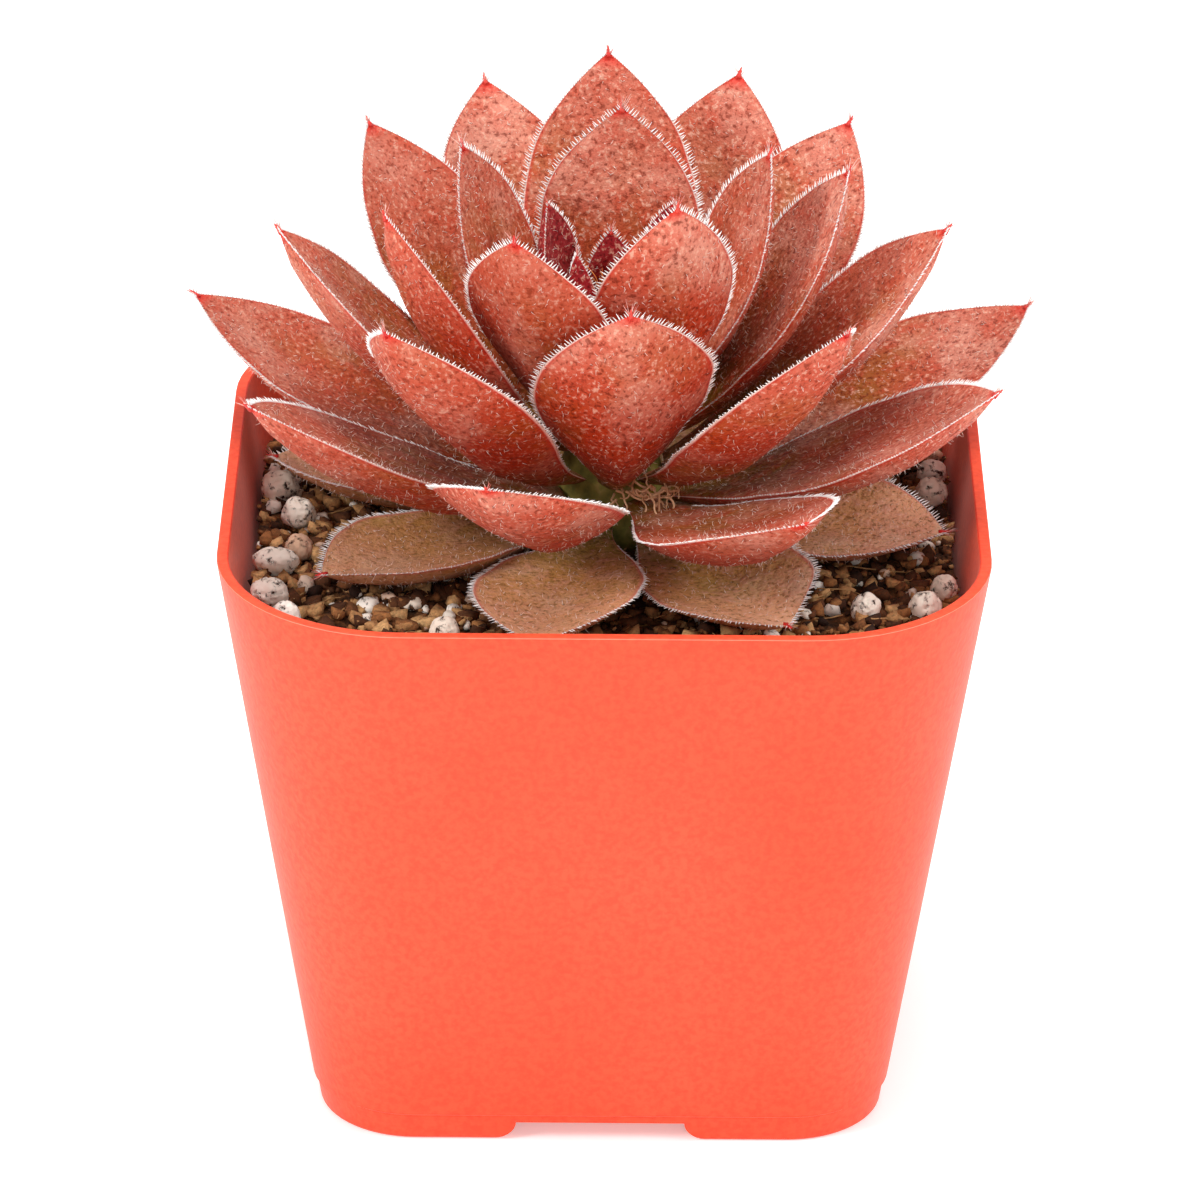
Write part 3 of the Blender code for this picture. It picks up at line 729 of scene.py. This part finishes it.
def makeLeaves():
    red = dict(upper=[(0.05, "6E5A08"), (0.28, "94480E"), (0.52, "B04C2A"), (0.95, "CE7864")],
               lower=[(0.05, "8C6A10"), (0.18, "A63204"), (0.5, "BE3A12"), (0.95, "D26E58")],
               blush="C24A32", dust="E0A690", other="9A3410", line="B8281C", tip="D41A12",
               pit="6E1E08", green="86741C")
    old = dict(upper=[(0.05, "9A862E"), (0.4, "C48C4C"), (0.75, "D69A72"), (1.0, "E2AE90")],
               lower=[(0.05, "A0822C"), (0.4, "BE7A30"), (0.8, "CC8A58"), (1.0, "DAA47C")],
               blush="D4967A", dust="E6C2A4", other="AA7840", line="C86660", tip="F0CCA8",
               pit="74501E", green="989040")
    heart = dict(upper=[(0.05, "6E2410"), (0.5, "861414"), (1.0, "A01822")],
                 lower=[(0.05, "7A2A10"), (0.5, "8C1614"), (1.0, "A81E28")],
                 blush="A02630", dust="B04044", other="700E12", line="C02A2A", tip="D42420",
                 pit="4A080A", green="6E3A18")
    skins = {"old_leaf": (leafSkin("houseleek leaf skin, grown old", old), "old_leaf_skin"),
             "heart_leaf": (leafSkin("houseleek leaf skin, grown young", heart), "heart_leaf_skin")}
    skins["bud_leaf"] = skins["heart_leaf"]
    common = (leafSkin("houseleek leaf skin, grown full", red), "leaf_skin")
    for leaf in leaves:
        material, slotName = skins.get(leaf["whorl"]["name"], common)
        addPiece("fleshy_" + leaf["node"], leafMesh(leaf), material, [leaf["node"]])


makeLeaves()
print("leaves made:", len(leaves))


# fringe, face hairs and tip bristles
leafHairs = dict(
    fringeGap=0.30, fringeLength=(0.42, 0.72), fringeRadius=0.09, faceGap=0.85,
    faceLength=(0.18, 0.5), faceRadius=0.034, bristles=9, bristleLength=(0.9, 1.7),
    bristleRadius=0.05, pointLength=1.1, pointRadius=0.32)


def clearHair(name, first, last):
    # Leaf hair, a dead hollow cell: glassy white where light comes through it.
    material, tree, shader = newMaterial(name, {
        "Roughness": 0.45, "Specular IOR Level": 0.5, "Subsurface Weight": 0.3,
        "Subsurface Radius": (1.0, 0.8, 0.7), "Subsurface Scale": 0.2 * mm})
    colour = ramp(tree, readAttribute(tree, "tone"), [(0.0, first), (1.0, last)])
    tree.links.new(colour, shader.inputs["Base Color"])
    return material


def spikeTemplate(name, sides, bend):
    # a spike one unit long along Z that bends a little
    bm = bmesh.new()
    bmesh.ops.create_cone(bm, cap_ends=True, segments=sides, radius1=1.0, radius2=0.12, depth=1.0)
    bmesh.ops.translate(bm, verts=bm.verts, vec=(0, 0, 0.5))
    sideEdges = [edge for edge in bm.edges
                 if abs(edge.verts[0].co.z - edge.verts[1].co.z) > 0.5]
    bmesh.ops.subdivide_edges(bm, edges=sideEdges, cuts=2, use_grid_fill=True)
    for vert in bm.verts:
        vert.co.x += bend * vert.co.z ** 2
    return meshFrom(bm, name)


def spikeMatrix(place, direction, length, radius):
    size = Matrix.Diagonal((radius, radius, length, 1.0))
    return Matrix.Translation(place) @ along(direction, dice.uniform(0, 6.28)) @ size


def fringeMatrices(leaf):
    settings = leafHairs
    rows = []
    steps = int(leaf["length"] / mm * 1.12 / settings["fringeGap"])
    for side in (-1, 1):
        for i in range(int(steps * 0.12), steps):
            share = min((i + dice.uniform(-0.3, 0.3)) / steps, 0.995)
            share = 1.0 - (1.0 - share) ** 1.25
            _, forward, across, above = leafAxes(leaf, share)
            place = leafPoint(leaf, share, side, 0)
            nearTip = max(0.0, (share - 0.75) * 3.0)
            direction = (across * side + forward * (0.7 + nearTip) + above * 0.25
                         + jitter(0.22)).normalized()
            length = dice.uniform(*settings["fringeLength"]) * min(1.0, 0.45 + share * 1.2)
            if leaf["whorl"]["width"] < 10:
                length *= 0.7
            rows.append(spikeMatrix(place - direction * 0.05 * mm, direction, length * mm,
                                    settings["fringeRadius"] * mm))
    return rows


def faceMatrices(leaf):
    settings = leafHairs
    rows = []
    area = leaf["length"] / mm * leaf["whorl"]["width"] * 0.72
    count = int(area / settings["faceGap"])
    for under in (0, 1):
        for _ in range(count):
            share = dice.uniform(0.08, 0.97)
            t = dice.uniform(-0.97, 0.97)
            if dice.random() > leafOutline(share):
                continue
            place = leafPoint(leaf, share, t, under)
            normal = leafNormal(leaf, share, t, under)
            direction = (normal * 0.55 + jitter(0.9)).normalized()
            if direction.dot(normal) < 0.12:
                direction = (direction + normal * 0.5).normalized()
            length = dice.uniform(*settings["faceLength"])
            rows.append(spikeMatrix(place, direction, length * mm, settings["faceRadius"] * mm))
    return rows


def tipMatrices(leaf):
    settings = leafHairs
    point, forward, across, above = leafAxes(leaf, 1.0)
    size = 0.6 if leaf["whorl"]["width"] < 10 else 1.0
    start = point - forward * 0.5 * mm
    spike = [spikeMatrix(start, (forward + jitter(0.06)).normalized(),
                         settings["pointLength"] * size * mm,
                         settings["pointRadius"] * size * mm)]
    bristles = []
    for _ in range(settings["bristles"]):
        direction = (forward + across * dice.uniform(-0.8, 0.8) + above * dice.uniform(-0.4, 0.7)
                     + jitter(0.2)).normalized()
        length = dice.uniform(*settings["bristleLength"]) * size
        bristles.append(spikeMatrix(point - forward * dice.uniform(0.0, 0.5) * mm, direction,
                                    length * mm, settings["bristleRadius"] * mm))
    return spike, bristles


def tonesFor(rows):
    return [dice.random() for _ in rows]


def makeHairs():
    thorn = spikeTemplate("thorn", 4, 0.0)
    hair = spikeTemplate("hair", 3, 0.0)
    bent = spikeTemplate("bentHair", 3, 5.0)
    white = clearHair("leaf fringe hair, dried clear", "FFF4EC", "FFFFFF")
    pale = clearHair("leaf face hair, dried clear", "E9C8B4", "FFF1E4")
    red = clearHair("leaf point, grown horny", "C81E1A", "E04A38")
    bristle = clearHair("leaf bristle, grown horny", "D8483C", "F6CFC2")
    spikes, bristles = [], []
    for whorl in whorls:
        group = [leaf for leaf in leaves if leaf["whorl"] is whorl]
        fringe = [row for leaf in group for row in fringeMatrices(leaf)]
        faces = [row for leaf in group for row in faceMatrices(leaf)]
        addPiece("fringe_" + whorl["name"], stampCopies("fringe", hair, fringe, tonesFor(fringe)),
                 white)
        addPiece("faceHairs_" + whorl["name"], stampCopies("faces", bent, faces, tonesFor(faces)),
                 pale)
        for leaf in group:
            spike, tuft = tipMatrices(leaf)
            spikes += spike
            bristles += tuft
    addPiece("leafPoints", stampCopies("points", thorn, spikes, tonesFor(spikes)), red)
    addPiece("leafBristles", stampCopies("bristles", hair, bristles, tonesFor(bristles)),
             bristle)


makeHairs()
print("hairs made")


# stem, its dry stub and the dry fibres around it
def stemBark(name, colours):
    # Succulent stem skin, grown and drying: dull olive with brown scars and fine wrinkles.
    material, tree, shader = newMaterial(name, {"Roughness": 0.7, "Specular IOR Level": 0.35})
    place = objectVector(tree)
    scars = grain(tree, place, 0.7, 3.0, 0.6)
    colour = ramp(tree, scars, [(0.3, colours[0]), (0.55, colours[1]), (0.75, colours[2])])
    tree.links.new(colour, shader.inputs["Base Color"])
    addBump(tree, shader, [(scars, 0.15)])
    return material


def dryFibre(name, first, last):
    # Dead leaf and root fibre, dried: matte pinkish tan threads.
    material, tree, shader = newMaterial(name, {"Roughness": 0.75, "Specular IOR Level": 0.3})
    shade = grain(tree, objectVector(tree), 0.8, 2.0)
    tree.links.new(ramp(tree, shade, [(0.3, first), (0.7, last)]), shader.inputs["Base Color"])
    return material


def curlyPath(start, direction, length, curl, steps=9):
    # a thread that wanders as it goes
    points = [start.copy()]
    heading = direction.normalized()
    for _ in range(steps):
        heading = (heading + jitter(curl)).normalized()
        points.append(points[-1] + heading * length / steps)
    return points


def makeStem():
    for node, colours in (("stem", ("5E5A20", "857A34", "A88A52")),
                          ("dry_stub", ("7A7420", "A09430", "B8A060"))):
        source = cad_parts[node].data.copy()
        bm = bmesh.new()
        bm.from_mesh(source)
        bmesh.ops.remove_doubles(bm, verts=bm.verts, dist=0.01 * mm)
        bmesh.ops.subdivide_edges(bm, edges=bm.edges, cuts=2, use_grid_fill=True)
        for vert in bm.verts:
            vert.co += vert.normal * noise.noise(vert.co / mm * 0.8) * 0.12 * mm
        material = stemBark("succulent stem skin, " + node.replace("_", " "), colours)
        mesh = meshFrom(bm, node)
        addPiece("grown_" + node, mesh, material, [node], sharpAngle=50)
    low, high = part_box("dry_stub")
    middle = (low + high) / 2
    paths = []
    for _ in range(30):
        start = middle + Vector((dice.uniform(-3.0, 2.4), dice.uniform(-1.8, 0.2),
                                 dice.uniform(-0.4, 1.0))) * mm
        paths.append(curlyPath(start, Vector((dice.uniform(-0.7, 0.9), -0.75,
                                              dice.uniform(-0.35, 0.9))),
                               dice.uniform(2.0, 4.6) * mm, 0.75))
    addPiece("driedFibresAtStub", strandMesh("dried", paths, 0.12 * mm),
             dryFibre("dead leaf fibre, dried", "B87850", "EEC49A"))
    threads = []
    for _ in range(pottingMix["fibres"]):
        x, y = spotOnSoil(3.0)
        start = potMiddle + Vector((x, y, soilTop(x, y) + dice.uniform(0.2, 0.9))) * mm
        turn = dice.uniform(0, 6.28)
        path = curlyPath(start, Vector((math.cos(turn), math.sin(turn), 0.0)),
                         dice.uniform(1.5, 4.5) * mm, 0.45)
        threads.append([Vector((p.x, p.y, start.z + (p.z - start.z) * 0.3)) for p in path])
    addPiece("soilFibres", strandMesh("threads", threads, 0.07 * mm),
             dryFibre("coir fibre, dried", "8A6238", "D2A873"))


def makeHeartHairs():
    # the orange hairs that stand between the young leaves
    top = rosetteAxis + Vector((0.0, 0.0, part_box("bud_leaf_1")[1].z - 5.0 * mm))
    paths = []
    for _ in range(46):
        turn = dice.uniform(0, 6.28)
        start = top + Vector((math.cos(turn), math.sin(turn), 0.0)) * dice.uniform(0.4, 2.4) * mm
        paths.append(curlyPath(start, Vector((math.cos(turn) * 0.4, math.sin(turn) * 0.4, 1.0)),
                               dice.uniform(2.0, 3.6) * mm, 0.35, 5))
    addPiece("heartHairs", strandMesh("heart", paths, 0.06 * mm),
             dryFibre("young leaf hair, grown", "C2481E", "F0A050"))


makeStem()
makeHeartHairs()
print("stem and fibres made")


# floor, light and camera
def makeFloor():
    bm = bmesh.new()
    bmesh.ops.create_grid(bm, x_segments=1, y_segments=1, size=6.0)
    mesh = meshFrom(bm, "floor")
    floor = bpy.data.objects.new("floor", mesh)
    # painted light: a white emission makes the board glow so that shadows on it wash out
    material, _, _ = newMaterial("matt board with painted glow", {
        "Base Color": hexColour("F7F7F7"), "Roughness": 0.9, "Specular IOR Level": 0.1,
        "Emission Color": hexColour("FFFFFF"), "Emission Strength": 0.3})
    mesh.materials.append(material)
    bpy.context.scene.collection.objects.link(floor)


def addLight(name, place, size, power, target):
    lamp = bpy.data.lights.new(name, "AREA")
    lamp.shape = "DISK"
    lamp.size = size
    lamp.energy = power
    light = bpy.data.objects.new(name, lamp)
    light.location = place
    light.rotation_euler = (target - light.location).to_track_quat("-Z", "Y").to_euler()
    bpy.context.scene.collection.objects.link(light)


def makeLight():
    world = bpy.data.worlds.new("studio")
    bpy.context.scene.world = world
    world.use_nodes = True
    background = world.node_tree.nodes["Background"]
    background.inputs["Color"].default_value = hexColour("FFFFFF")
    background.inputs["Strength"].default_value = 0.55
    target = Vector((0.0, 0.0, 0.04))
    addLight("overhead", Vector((0.0, 0.1, 1.1)), 0.7, 8.0, target)
    addLight("windowLeft", Vector((-0.7, -0.4, 0.6)), 0.35, 5.0, target)
    addLight("windowRight", Vector((0.75, -0.2, 0.5)), 0.35, 3.0, target)
    addLight("front", Vector((0.05, -0.9, 0.35)), 0.7, 1.5, target)


# a long lens about 0.6 m away, looking down from the front; place is from the pot's middle
studioCamera = dict(lens=216.6, sensor=36.0, place=(-0.33, -553.2, 307.5), down=25.876, roll=0.424)


def makeCamera():
    settings = studioCamera
    camera = bpy.data.cameras.new("camera")
    camera.sensor_width = settings["sensor"]
    camera.lens = settings["lens"]
    camera.clip_start = 0.01
    holder = bpy.data.objects.new("camera", camera)
    tilt = Matrix.Rotation(math.radians(90.0 - settings["down"]), 4, "X")
    roll = Matrix.Rotation(math.radians(settings["roll"]), 4, "Z")
    place = Matrix.Translation(potMiddle + Vector(settings["place"]) * mm)
    holder.matrix_world = place @ tilt @ roll
    bpy.context.scene.collection.objects.link(holder)
    bpy.context.scene.camera = holder


makeFloor()
makeLight()
makeCamera()
bpy.context.scene.view_settings.view_transform = "Standard"  # paint colours stay true
